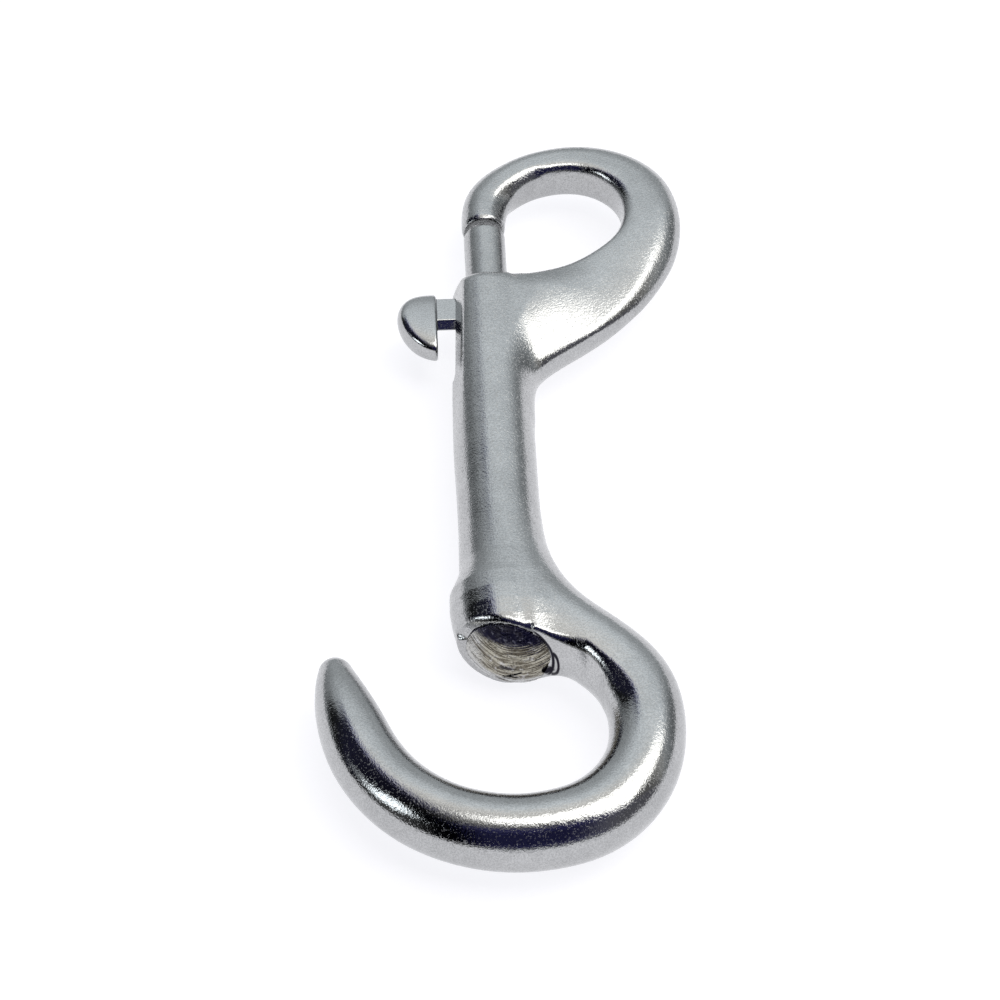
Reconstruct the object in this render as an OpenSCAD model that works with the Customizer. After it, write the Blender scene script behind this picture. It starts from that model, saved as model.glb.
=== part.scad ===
// Bolt snap with a fixed eye, a sliding spring bolt and an open hook.
// It lies flat: the long axis is Y with the eye at +Y, the thumb stud
// points to -X, and Z is the thickness. The barrel's bore is the line
// x = 0, z = 0 of the drawing frame; place() moves that frame so that the
// origin is the middle of the underside of the whole snap.

/* [Barrel] */
// Outside diameter of the barrel
barrel_d = 9.48; // [9.2:0.1:9.8]
// Sideways offset of the barrel's skin from its bore, thicker on the stud's side
barrel_shift = -0.2; // [-0.3:0.05:0]
// Distance of the barrel's top end from the drawing origin
barrel_top = 25.1; // [24.8:0.1:25.6]
// Radius of the rounded top edge of the barrel
barrel_round = 1.6; // [0.6:0.2:2.2]

/* [Bolt] */
// Diameter of the sliding bolt
bolt_d = 5; // [4.8:0.05:5.1]
// Radial running clearance of the bolt in its bore
bolt_clearance = 0.05; // [0.03:0.01:0.1]
// Stroke of the bolt from shut to fully drawn
bolt_travel = 9; // [8:0.5:9]

/* [Thumb stud] */
// Length of the thumb knob's flat back, along the barrel
knob_l = 9.4; // [8.4:0.1:9.8]
// Thickness of the knob
knob_t = 3.9; // [3.2:0.1:4.2]
// Height of the knob's dome
knob_h = 4.7; // [3.6:0.1:5]
// Length of the stem along the barrel
stem_l = 3.9; // [3:0.1:4]
// Thickness of the stem
stem_t = 1.4; // [1.2:0.1:1.8]

/* [Eye] */
// Full thickness of the eye's bar at its top
eye_bar_t = 5.3; // [5:0.1:5.6]
// Full thickness of the web where it leaves the barrel
web_t = 8.2; // [7.6:0.2:8.6]

/* [Hook] */
// Scale of the hook bar's section about its middle line
hook_bar = 1; // [0.92:0.02:1.04]

/* [Spring] */
// Wire diameter of the return spring
wire_d = 0.6; // [0.4:0.1:0.7]
// Number of coils of the spring
coils = 13; // [10:1:15]

/* [End plug] */
// Diameter of the plug that closes the bore
plug_d = 8.6; // [8:0.1:8.8]
// Distance of the plug's inner face below the drawing origin
plug_seat = 24.5; // [24:0.5:25]
// Diameter of the plug's upset head, outside the barrel's end face
plug_head_d = 9.4; // [9:0.1:9.6]
// Height of the head's dome over the end face
plug_head_h = 1.5; // [1:0.1:1.8]

/* [Hidden] */
$fn = 64;
eps = 0.01;

bore_r = bolt_d/2 + bolt_clearance;
nose_y = 35.4;               // flat end of the eye's nose
cup_r = 2.8;                 // spherical seat in the nose, and its centre
cup_y = 33.9;
stud_y = 22.0;               // middle of the stem
knob_y = 19.72;              // middle of the knob's flat back
knob_x = -6.2;               // plane of the knob's flat back
bolt_tail = 0;               // lower end of the bolt
slot_gap = 0.15;             // play of the stem in its slot, each side
boss_y = -29.7;              // where the end face crosses the bore's axis
boss_lean = 0.245;           // the end face runs this far towards -Y for each mm of +X

// Outline of the eye, station by station from the nose round to the web:
// [inner x, inner y, outer x, outer y, half thickness, squareness of the inner side 0..1]
eye = [
    [ 2.60, 35.4, -2.60, 35.4, 0.5, 0.0],
    [ 2.72, 37.2, -2.55, 37.8, 0.5, 0.0],
    [ 3.20, 38.9, -2.25, 40.0, 0.5, 0.3],
    [ 4.25, 40.9, -1.30, 42.4, 0.5, 0.7],
    [ 5.60, 42.4,  0.60, 44.6, 0.5, 1.0],
    [ 7.20, 43.3,  3.30, 46.7, 0.5, 1.0],
    [ 8.80, 43.7,  6.70, 48.2, 0.5, 1.0],
    [10.50, 43.9, 11.00, 49.0, 0.51, 1.0],
    [12.30, 43.6, 14.50, 48.8, 0.52, 1.0],
    [13.90, 42.8, 17.60, 47.7, 0.53, 1.0],
    [15.20, 41.8, 20.40, 45.8, 0.55, 1.0],
    [16.20, 40.4, 22.55, 43.0, 0.56, 1.0],
    [16.80, 38.6, 23.70, 39.6, 0.57, 1.0],
    [16.95, 36.8, 24.05, 36.3, 0.57, 1.0],
    [16.75, 35.1, 23.85, 33.5, 0.57, 1.0],
    [16.20, 33.6, 23.20, 30.6, 0.57, 1.0],
    [15.30, 32.2, 22.00, 27.5, 0.57, 1.0],
    [14.20, 30.9, 20.20, 24.5, 0.57, 1.0],
    [12.70, 29.6, 18.00, 21.8, 0.59, 1.0],
    [11.00, 28.4, 15.30, 19.1, 0.63, 1.0],
    [ 9.10, 27.3, 12.10, 16.4, 0.68, 1.0],
    [ 7.00, 26.5,  8.70, 13.9, 0.73, 1.0],
    [ 4.90, 26.2,  5.90, 11.3, 0.77, 1.0],
    [ 2.60, 25.2,  3.60,  9.4, 0.75, 0.6],
    [ 0.60, 23.8,  1.20,  9.4, 0.68, 0.2]
];

// Middle line of the hook from inside the barrel to the tip: [x, y, radius in the plane, half height]
hook = [
    [ -0.2,  -5.0, 3.50, 3.50], [ -0.1,  -9.0, 3.75, 3.80], [  0.3, -12.6, 4.00, 4.10],
    [  0.95,-16.4, 4.15, 4.25], [  2.45,-20.7, 4.10, 4.30], [  4.5, -24.4, 4.15, 4.30],
    [  6.85,-27.1, 4.10, 4.30], [  9.15,-29.2, 4.15, 4.30], [ 11.15,-31.2, 4.20, 4.25],
    [ 12.7, -33.15,4.20, 4.20], [ 13.8, -35.5, 4.20, 4.20], [ 14.4, -38.2, 4.18, 4.20],
    [ 14.45,-41.0, 4.15, 4.20], [ 14.05,-43.9, 4.12, 4.20], [ 12.8, -47.1, 4.17, 4.20],
    [ 10.4, -50.25,4.22, 4.20], [  7.35,-52.35,4.20, 4.20], [  3.8, -53.4, 4.15, 4.20],
    [  0.2, -53.75,4.12, 4.15], [ -3.5, -53.3, 4.10, 4.15], [ -7.2, -52.05,4.05, 4.10],
    [-10.6, -49.95,4.05, 4.10], [-13.5, -47.0, 4.00, 4.00], [-15.8, -43.2, 3.90, 3.95],
    [-17.1, -39.5, 3.70, 3.80], [-17.9, -36.6, 3.30, 3.45], [-18.4, -34.4, 2.82, 3.00],
    [-18.7, -32.9, 2.42, 2.60], [-18.9, -31.8, 1.90, 2.00], [-19.0, -30.9, 1.40, 1.45],
    [-19.0, -30.2, 0.85, 0.90], [-19.0, -29.9, 0.40, 0.40]
];

// Swelling at the barrel's lower end: [y, reach to -X, reach to +X, half height]
boss = [
    [-14.0, 4.65, 4.25, 4.50], [-16.5, 4.70, 4.30, 4.65], [-18.5, 4.95, 4.40, 4.80],
    [-20.0, 5.50, 4.50, 5.00], [-22.0, 6.15, 4.80, 5.25], [-24.0, 6.20, 5.00, 5.35],
    [-26.0, 5.95, 5.20, 5.38], [-28.0, 5.60, 5.30, 5.33], [-29.4, 5.40, 5.30, 5.25],
    [-29.7, 5.05, 5.05, 5.00]
];

function mix(a, b, t) = a + (b - a)*t;
// Catmull-Rom point between rows b and c, for any number of columns
function cr(a, b, c, d, t) = 0.5*(2*b + (c - a)*t + (2*a - 5*b + 4*c - d)*t*t + (3*b - a - 3*c + d)*t*t*t);
function at(v, i) = v[max(0, min(len(v) - 1, i))];
// A table made n times finer along one smooth curve
function smooth(v, n) = [
    for (i = [0 : len(v) - 2], k = [0 : n - 1]) cr(at(v, i - 1), v[i], v[i + 1], at(v, i + 2), k/n),
    v[len(v) - 1]
];
function spow(x, e) = sign(x)*pow(abs(x), e);

// One closed skin over a list of rings that have the same number of points
module skin(rings) {
    n = len(rings[0]);
    m = len(rings);
    mid = function (r) [for (k = [0 : 2]) [for (p = r) p[k]]*[for (p = r) 1]/len(r)];
    pts = concat([for (r = rings) each r], [mid(rings[0]), mid(rings[m - 1])]);
    polyhedron(pts, concat(
        [for (j = [0 : m - 2], i = [0 : n - 1]) each [
            [j*n + i, j*n + (i + 1)%n, (j + 1)*n + i],
            [j*n + (i + 1)%n, (j + 1)*n + (i + 1)%n, (j + 1)*n + i]]],
        [for (i = [0 : n - 1]) [m*n, (i + 1)%n, i]],
        [for (i = [0 : n - 1]) [m*n + 1, (m - 1)*n + i, (m - 1)*n + (i + 1)%n]]),
        convexity = 6);
}

// Section of the eye's bar: round outside, squarer towards the hole
function eye_ring(s, n) = let (
        h = s[4] < 0.6 ? s[4]*eye_bar_t : mix(0.6*eye_bar_t, web_t/2, (s[4] - 0.6)/0.17),
        p = mix(2, 5, s[5]), q = mix(2, 4, s[5]))
    [for (i = [0 : n - 1]) let (
        t = -360*i/n, c = cos(t), z = sin(t),
        u = c > 0 ? c : spow(c, 2/p), v = c > 0 ? z : spow(z, 2/q))
        [mix(s[0], s[2], (1 + u)/2), mix(s[1], s[3], (1 + u)/2), v*h]];

function hook_ring(v, i, n) = let (
        d = at(v, i + 1) - at(v, i - 1), l = norm([d[0], d[1]]), x = -d[1]/l, y = d[0]/l)
    [for (k = [0 : n - 1]) let (c = cos(-360*k/n)*v[i][2]*hook_bar, z = sin(-360*k/n)*v[i][3]*hook_bar)
        [v[i][0] + x*c, v[i][1] + y*c, z]];

eye_rings = [for (s = smooth(eye, 2)) eye_ring(s, 28)];
hook_line = smooth(hook, 2);
hook_rings = [for (i = [0 : len(hook_line) - 1]) hook_ring(hook_line, i, 28)];

module eye_and_web() skin(eye_rings);

module hook_and_neck() skin(hook_rings);

// The swelling's rings lean over, little by little, to lie in the end face
module swelling() skin([for (s = boss) let (k = (s[0] + 14)/(boss_y + 14))
    [for (i = [0 : 39]) let (t = -360*i/40, x = cos(t)*(cos(t) < 0 ? s[1] : s[2]))
        [x, s[0] - boss_lean*x*k, sin(t)*s[3]]]]);

module along_y(y) translate([0, y, 0]) rotate([-90, 0, 0]) children();

module barrel() translate([barrel_shift, 0, 0]) along_y(-22) rotate_extrude() {
    h = barrel_top + 22;
    r = barrel_d/2;
    b = barrel_round;
    polygon([[0, 0], [r - 0.5, 0], [r, 4],
        for (a = [0 : 10 : 90]) [r - b + b*cos(a), h - b + b*sin(a)], [0, h]]);
}

// Half-space beyond the leaning end face, thick enough to cut the boss or the plug
module beyond_end(gap = 0) translate([0, boss_y - gap, 0]) rotate([0, 0, -atan(boss_lean)])
    translate([-15, -12, -10]) cube([30, 12, 20]);

module casting() difference() {
    union() {
        barrel();
        eye_and_web();
        hook_and_neck();
        swelling();
    }
    // bore, open at the top and stopped by the plug below
    along_y(-plug_seat - eps) cylinder(h = plug_seat + barrel_top + 1, r = bore_r);
    // seat of the end plug
    along_y(-34) cylinder(h = 34 - plug_seat, d = plug_d);
    // seat for the bolt's tip in the nose
    translate([0, cup_y, 0]) sphere(r = cup_r);
    // slot for the stud's stem, as long as the stroke
    translate([-8, stud_y - stem_l/2 - slot_gap - bolt_travel, -stem_t/2 - slot_gap])
        cube([8, stem_l + 2*slot_gap + bolt_travel, stem_t + 2*slot_gap]);
    // two shallow flats that meet along the slot, deepest at the top
    for (s = [-1, 1]) translate([-4.0, 24.3, 0]) rotate([0, 0, -2.1]) rotate([0, s*15, 0])
        translate([-6, -26, -8]) cube([6, 34, 16]);
}

module bolt_rod() difference() {
    along_y(bolt_tail) rotate_extrude() {
        l = nose_y + 0.9 - bolt_tail;
        r = bolt_d/2;
        polygon([[0, 0], [r - 0.4, 0], [r, 0.4], [r, l - 1.8], [r - 0.3, l - 1.35],
            [r - 0.9, l - 0.85], [r - 1.5, l - 0.2], [0, l]]);
    }
    // seat of the stem
    translate([-4, stud_y - stem_l/2, -stem_t/2]) cube([2.6, stem_l, stem_t]);
}

// A half egg on a flat back, flattened above and below, its tip a little towards the eye
module knob() {
    n = 9;
    skin([for (j = [0 : n]) let (
            a = max(0, 86*(j - 1)/(n - 1)), k = j == 0 ? 0.96 : 1,
            h = j == 0 ? 0 : 0.25 + (knob_h - 0.25)*sin(a)/sin(86),
            y = knob_y + 1.2*pow(h/knob_h, 1.6))
        [for (i = [0 : 35]) let (t = 10*i, c = cos(a)*cos(t))
            [knob_x - h, y + k*c*knob_l/2,
             k*sign(sin(t))*knob_t/2*sqrt(max(0, 1 - pow(sin(a)*sin(a) + c*c, 3.2)))]]]);
}

module stud() union() {
    knob();
    translate([knob_x - 0.3, stud_y - stem_l/2, -stem_t/2]) cube([-1.4 - knob_x + 0.3, stem_l, stem_t]);
}

module coil() {
    r = bore_r - 0.35 - wire_d/2;
    top = bolt_tail - wire_d/2 - 0.02;
    low = -plug_seat + wire_d/2 + 0.02;
    dead = 1;   // closed coil at each end
    y = function (k) k < dead ? top - k*wire_d*1.05
        : k > coils - dead ? low + (coils - k)*wire_d*1.05
        : mix(top - dead*wire_d*1.05, low + dead*wire_d*1.05, (k - dead)/(coils - 2*dead));
    m = coils*14;
    skin([for (j = [0 : m]) let (k = j/14, a = 360*k)
        [for (i = [0 : 7]) let (t = -360*i/8, s = r + wire_d/2*cos(t))
            [s*cos(a), y(k) + wire_d/2*sin(t), s*sin(a)]]]);
}

// A round plug in its seat, with a low domed head upset over the end face and filed flat on its upper slope
module plug() {
    r = plug_head_d/2;
    ball = (r*r + plug_head_h*plug_head_h)/(2*plug_head_h);
    lean = atan(boss_lean);
    difference() {
        union() {
            difference() {
                along_y(-33) cylinder(h = 33 - plug_seat, d = plug_d - 0.04);
                beyond_end(0.2);
            }
            intersection() {
                translate([0.1, boss_y - 0.12, 0]) rotate([0, 0, -lean]) translate([0, ball - plug_head_h, 0]) sphere(r = ball);
                translate([0.1, -27, 0]) rotate([90, 0, 0]) cylinder(r = r, h = 6);
                beyond_end();
            }
        }
        translate([0, boss_y + 0.25, 4.85]) rotate([0, 0, -lean]) rotate([-30, 0, 0]) translate([-10, -10, -10]) cube([20, 10, 20]);
    }
}

// The whole snap's middle in X and Y, and its underside
outline = [for (r = concat(eye_rings, hook_rings)) each r];
mid_x = (max([for (p = outline) p[0]]) + min([for (p = outline) p[0]]))/2;
mid_y = (max([for (p = outline) p[1]]) + min([for (p = outline) p[1]]))/2;
low_z = max([for (s = boss) s[3]]);

module place() translate([-mid_x, -mid_y, low_z]) children();

module body() color([0.66, 0.67, 0.69]) place() casting();
module bolt() color([0.72, 0.73, 0.75]) place() bolt_rod();
module thumb_stud() color([0.70, 0.71, 0.74]) place() stud();
module spring() color([0.60, 0.61, 0.63]) place() coil();
module end_plug() color([0.55, 0.53, 0.46]) place() plug();

body();
bolt();
thumb_stud();
spring();
end_plug();
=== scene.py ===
"""Looks of the bolt snap: a cast body with an eye and a hook, a sliding bolt with its thumb stud, a spring and an end plug.

Shapes are worked out in millimetres about the bolt's axis (x to the eye's side, y to the eye, z up) and moved into the row frame at the end.
"""
import math

import bpy
import numpy as np
from mathutils import Matrix, Vector


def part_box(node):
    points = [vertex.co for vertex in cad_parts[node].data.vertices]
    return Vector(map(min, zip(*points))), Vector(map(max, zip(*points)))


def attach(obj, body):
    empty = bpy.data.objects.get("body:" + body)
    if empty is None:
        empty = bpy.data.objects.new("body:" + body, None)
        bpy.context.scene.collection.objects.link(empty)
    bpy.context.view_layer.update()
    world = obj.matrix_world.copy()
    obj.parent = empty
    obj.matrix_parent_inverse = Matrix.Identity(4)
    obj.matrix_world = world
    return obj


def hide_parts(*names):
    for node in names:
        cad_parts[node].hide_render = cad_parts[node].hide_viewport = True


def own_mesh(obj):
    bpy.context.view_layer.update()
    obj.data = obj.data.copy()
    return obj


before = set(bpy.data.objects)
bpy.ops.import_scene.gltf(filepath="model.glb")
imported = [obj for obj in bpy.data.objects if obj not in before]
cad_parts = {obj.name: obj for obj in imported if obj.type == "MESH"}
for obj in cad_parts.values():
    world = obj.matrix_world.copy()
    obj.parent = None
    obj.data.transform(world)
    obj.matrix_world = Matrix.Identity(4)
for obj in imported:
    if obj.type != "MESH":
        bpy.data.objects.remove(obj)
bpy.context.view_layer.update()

lo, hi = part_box("bolt")
ORIGIN = np.array([(lo.x+hi.x)/2, lo.y, (lo.z+hi.z)/2])*1000   # the bolt's tail, in the row frame


# ---------------------------------------------------------------- shape tools

def spline(pts, closed, step):
    P = np.array(pts, float)
    n = len(P)
    Q = np.vstack([P[-1], P, P[0], P[1]]) if closed else np.vstack([2*P[0]-P[1], P, 2*P[-1]-P[-2]])
    out = []
    for i in range(n if closed else n-1):
        p0, p1, p2, p3 = Q[i], Q[i+1], Q[i+2], Q[i+3]
        d = [max(np.hypot(*(b-a)[:2]), 1e-6)**0.5 for a, b in ((p0, p1), (p1, p2), (p2, p3))]
        t = np.linspace(0, 1, max(3, int(np.hypot(*(p2-p1)[:2])/step)+1), endpoint=False)[:, None]
        m1 = ((p1-p0)/d[0]-(p2-p0)/(d[0]+d[1])+(p2-p1)/d[1])*d[1]
        m2 = ((p2-p1)/d[1]-(p3-p1)/(d[1]+d[2])+(p3-p2)/d[2])*d[1]
        out.append((2*t**3-3*t**2+1)*p1+(t**3-2*t**2+t)*m1+(-2*t**3+3*t**2)*p2+(t**3-t**2)*m2)
    out.append(P[:1] if closed else P[-1:])
    return np.vstack(out)

class Line:
    """A smooth plane curve through set points, and further columns that run along it."""
    GX = np.arange(-25.0, 28.0, 0.5)
    GY = np.arange(-62.0, 53.0, 0.5)

    def __init__(self, pts, closed=False, soft=1.0, step=0.1):
        S = spline(pts, closed, step/3)
        s = np.r_[0, np.cumsum(np.hypot(*np.diff(S[:, :2], axis=0).T))]
        n = int(round(s[-1]/step))
        u = np.linspace(0, s[-1], n+1)
        S = np.stack([np.interp(u, s, c) for c in S.T], 1)
        if closed:
            S = S[:-1]
        k = int(4*soft/step)
        g = np.exp(-0.5*(np.arange(-k, k+1)*step/soft)**2)
        g /= g.sum()
        if closed:
            A = np.vstack([S[-k:], S, S[:k]])
        else:
            A = np.vstack([2*S[0]-S[1:k+1][::-1], S, 2*S[-1]-S[-k-1:-1][::-1]])
        S = np.stack([np.convolve(c, g, "valid") for c in A.T], 1)
        self.closed, self.P, self.C = closed, S[:, :2], S[:, 2:]
        T = np.roll(self.P, -1, 0)-np.roll(self.P, 1, 0)
        if not closed:
            T[0], T[-1] = self.P[1]-self.P[0], self.P[-1]-self.P[-2]
        T /= np.linalg.norm(T, axis=1)[:, None]
        self.N = np.stack([-T[:, 1], T[:, 0]], 1)
        self.T = T
        X, Y = np.meshgrid(self.GX, self.GY, indexing="ij")
        G = np.stack([X.ravel(), Y.ravel()], 1)
        self.near_node = np.concatenate([
            ((G[i:i+1500, None]-self.P)**2).sum(-1).argmin(1) for i in range(0, len(G), 1500)]).reshape(X.shape)

    def near(self, x, y, W=16):
        """Signed distance (+ left of travel) and the columns at the nearest point."""
        shape = np.broadcast(x, y).shape
        p = np.stack([np.broadcast_to(x, shape).ravel(), np.broadcast_to(y, shape).ravel()], 1)
        n = len(self.P)
        i = np.clip(np.round((p[:, 0]-self.GX[0])/0.5).astype(int), 0, len(self.GX)-1)
        j = np.clip(np.round((p[:, 1]-self.GY[0])/0.5).astype(int), 0, len(self.GY)-1)
        c = self.near_node[i, j]
        k = c[:, None]+np.arange(-W, W+1)
        k = k % n if self.closed else np.clip(k, 0, n-1)
        d = (p[:, None, 0]-self.P[k, 0])**2+(p[:, None, 1]-self.P[k, 1])**2
        c = k[np.arange(len(p)), d.argmin(1)]
        side = ((p-self.P[c])*self.T[c]).sum(1)
        a = np.where(side < 0, c-1, c)
        b = a+1
        if self.closed:
            a, b = a % n, b % n
        else:
            a, b = np.clip(a, 0, n-1), np.clip(b, 0, n-1)
        e = self.P[b]-self.P[a]
        L = np.maximum((e**2).sum(1), 1e-12)
        t = ((p-self.P[a])*e).sum(1)/L
        t = np.where(a == b, 0, t)
        off = (not self.closed) & (((c == 0) & (side < 0)) | ((c == n-1) & (side > 0)))
        t = np.clip(t, 0, 1)[:, None]
        q = self.P[a]+t*e
        nn = self.N[a]*(1-t)+self.N[b]*t
        nn /= np.linalg.norm(nn, axis=1)[:, None]
        s = ((p-q)*nn).sum(1)
        s = np.where(off, np.hypot(*(p-q).T)*np.where(s < 0, -1, 1), s)
        cols = self.C[a]*(1-t)+self.C[b]*t
        return s.reshape(shape), [v.reshape(shape) for v in cols.T]

def smin(a, b, k):
    h = np.clip(0.5+0.5*(b-a)/k, 0, 1)
    return b*(1-h)+a*h-k*h*(1-h)

def smax(a, b, k):
    return -smin(-a, -b, k)

def rmax(a, b, r):
    """Both solids' common part, its edge rounded to radius r."""
    u, v = np.maximum(a+r, 0), np.maximum(b+r, 0)
    return np.minimum(-r, np.maximum(a, b))+np.sqrt(u*u+v*v)

def ramp(x, a, b):
    t = np.clip((x-a)/(b-a), 0, 1)
    return t*t*(3-2*t)

# outlines of the eye, in millimetres about the bolt's axis
HOLE = [(2.6,26.1),(5.0,25.9),(7.2,26.48),(9.4,27.4),(11.4,28.65),(13.3,30.1),(14.9,31.65),(16.1,33.45),(16.85,35.7),(16.9,38.0),(16.2,40.4),
        (14.7,42.3),(12.7,43.5),(10.3,43.9),(7.8,43.5),(5.7,42.55),(4.15,41.1),(3.05,39.0),(2.6,36.5),(2.6,31.0)]
OUTER = [(-2.6,22.0),(-2.6,29.0),(-2.68,35.6),(-2.58,38.8),(-1.92,41.5),(-0.3,43.9),(2.2,46.0),(5.1,47.55),(8.3,48.55),(11.4,48.97),(14.6,48.68),(17.6,47.65),
         (20.4,45.75),(22.55,43.0),(23.7,39.6),(24.0,36.0),(23.6,32.6),(22.65,29.2),(21.05,25.9),(19.0,22.75),(16.65,20.15),(14.12,17.75),(11.32,15.53),(8.32,13.35),
         (6.2,11.5),(4.85,9.6),(4.1,7.0),(3.6,3.0),(0.0,0.0),(-2.6,3.0),(-2.6,12.0)]
# middle line of the hook: x, y, in-plane radius, half height, and how much of an edge there is on the bowl's side, above the middle
HOOK = [(-0.2,-5.0,3.5,3.5,0),(-0.1,-9.0,3.75,3.8,0),(0.3,-12.6,4.0,4.1,0),(0.95,-16.4,4.15,4.25,0),(2.45,-20.7,4.1,4.3,0.8),(4.5,-24.4,4.15,4.3,1),(6.85,-27.1,4.1,4.3,1),(9.15,-29.2,4.1,4.3,1),
        (11.15,-31.2,4.12,4.25,1),(12.7,-33.15,4.2,4.2,0.95),(13.8,-35.5,4.28,4.2,0.6),(14.4,-38.2,4.18,4.2,0.1),(14.45,-41.0,4.15,4.2,0),(14.05,-43.9,4.12,4.2,0),(12.8,-47.1,4.17,4.2,0),(10.4,-50.25,4.22,4.2,0),
        (7.35,-52.35,4.2,4.2,0),(3.8,-53.4,4.12,4.2,0),(0.2,-53.75,4.1,4.15,0),(-3.5,-53.3,4.08,4.15,0),(-7.2,-52.05,4.05,4.1,0),(-10.6,-49.95,4.05,4.1,0),(-13.5,-47.0,4.0,4.0,0),(-15.8,-43.2,3.9,3.95,0),
        (-17.1,-39.5,3.7,3.8,0.2),(-17.9,-36.6,3.3,3.45,0.4),(-18.4,-34.4,2.82,3.0,0.55),(-18.7,-32.9,2.42,2.6,0.6),(-18.85,-31.4,1.85,1.95,0.6),(-18.95,-29.8,1.35,1.4,0.6),(-19.0,-28.0,0.9,0.9,0.6)]
# swelling at the barrel's end: y, reach to -X, reach to +X, half height
BOSS = np.array([(-40,5.2,5.3,4.75),(-31,5.2,5.3,4.75),(-29.4,5.2,5.3,4.92),(-28,5.55,5.3,5.15),(-26,5.95,5.2,5.32),(-24,6.18,5.0,5.35),(-22,6.15,4.8,5.25),(-20,5.35,4.5,5.0),
                 (-18.5,4.8,4.4,4.8),(-17,4.7,4.3,4.65),(-15,4.6,4.2,4.45),(-11,4.1,3.8,4.0),(0,3.6,3.6,3.6)])[::1]

LINES = {}
def lines():
    if not LINES:
        LINES["hole"] = Line(HOLE, True, 0.8)
        LINES["outer"] = Line(OUTER, True, 0.8)
        LINES["hook"] = Line(HOOK, False, 1.3)
    return LINES["hole"], LINES["outer"], LINES["hook"]

def eye(x, y, z):
    hole, outer, _ = lines()
    sh = -hole.near(x, y)[0]
    so = -outer.near(x, y)[0]
    w = np.maximum(sh+so, 1.2)
    u = (sh-so)/w
    a = w/2
    g = 1-ramp(x, 3.0, 17.0)
    b = 2.65+0.35*ramp(x, 8, 20)*ramp(y, 50, 36)+1.75*g*ramp(y, 31, 22)
    nose = ramp(x, 7, 3)*ramp(y, 44, 39)
    p = np.where(u > 0, 2.0+0.3*ramp(y, 38, 44)*ramp(x, 2, 6), 5.0-3.0*nose)
    q = np.where(u > 0, 2.0, 4.0-2.0*nose)
    au = np.maximum(np.abs(u), 1e-6)
    az = np.maximum(np.abs(z)/b, 1e-6)
    F = au**p+az**q
    r = np.sqrt(np.maximum(F, 1e-9))
    gu = 0.5*p*au**(p-1)/(a*r)
    gz = 0.5*q*az**(q-1)/(b*r)
    f = (r-1)/np.maximum(np.hypot(gu, gz), 0.15)
    # the web and the lower limb: a face that falls away towards a low edge, and a bulging side
    far = ramp(x, 12.0, 21.0)
    W = 9.5-3.5*far
    D = b-(1.55-0.1*far)
    t = np.clip(1-so/W, 0, 1.25)
    top = b-D*t*t
    slope = 2*D/W*t
    face = (np.abs(z)-top)/np.sqrt(1+slope**2)
    side = -so+z*z/(2*3.0)
    web = rmax(face, side, 0.4+0.95*far)
    web = rmax(web, -sh+z*z/14.0, 0.6-0.25*ramp(x, 11, 15))
    k = ramp(y, 37, 26)*ramp(x, 28, 20)
    f = f*(1-k)+web*k
    # a bevel along the hole's upper edge, from the nose to the bow
    c = (1.0+0.62*nose)*ramp(x, 9.5, 6.5)*ramp(y, 35.4, 36.4)
    f = rmax(f, np.where((c > 0) & (z > 0), (z-(b-c)-sh)*0.707, -9.0), 0.25)
    # the gate, where the bolt shuts, and the nose's end, which tapers a little
    gate = np.maximum(np.maximum(x-3.4, -5-x), np.maximum(y-35.35, 24.3-y))
    f = f+0.26*smax(36.05-y, 0*y, 0.2)*(x < 4)*(y > 30)
    return rmax(f, -gate, 0.3+0.6*ramp(y, 29, 26))

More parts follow.
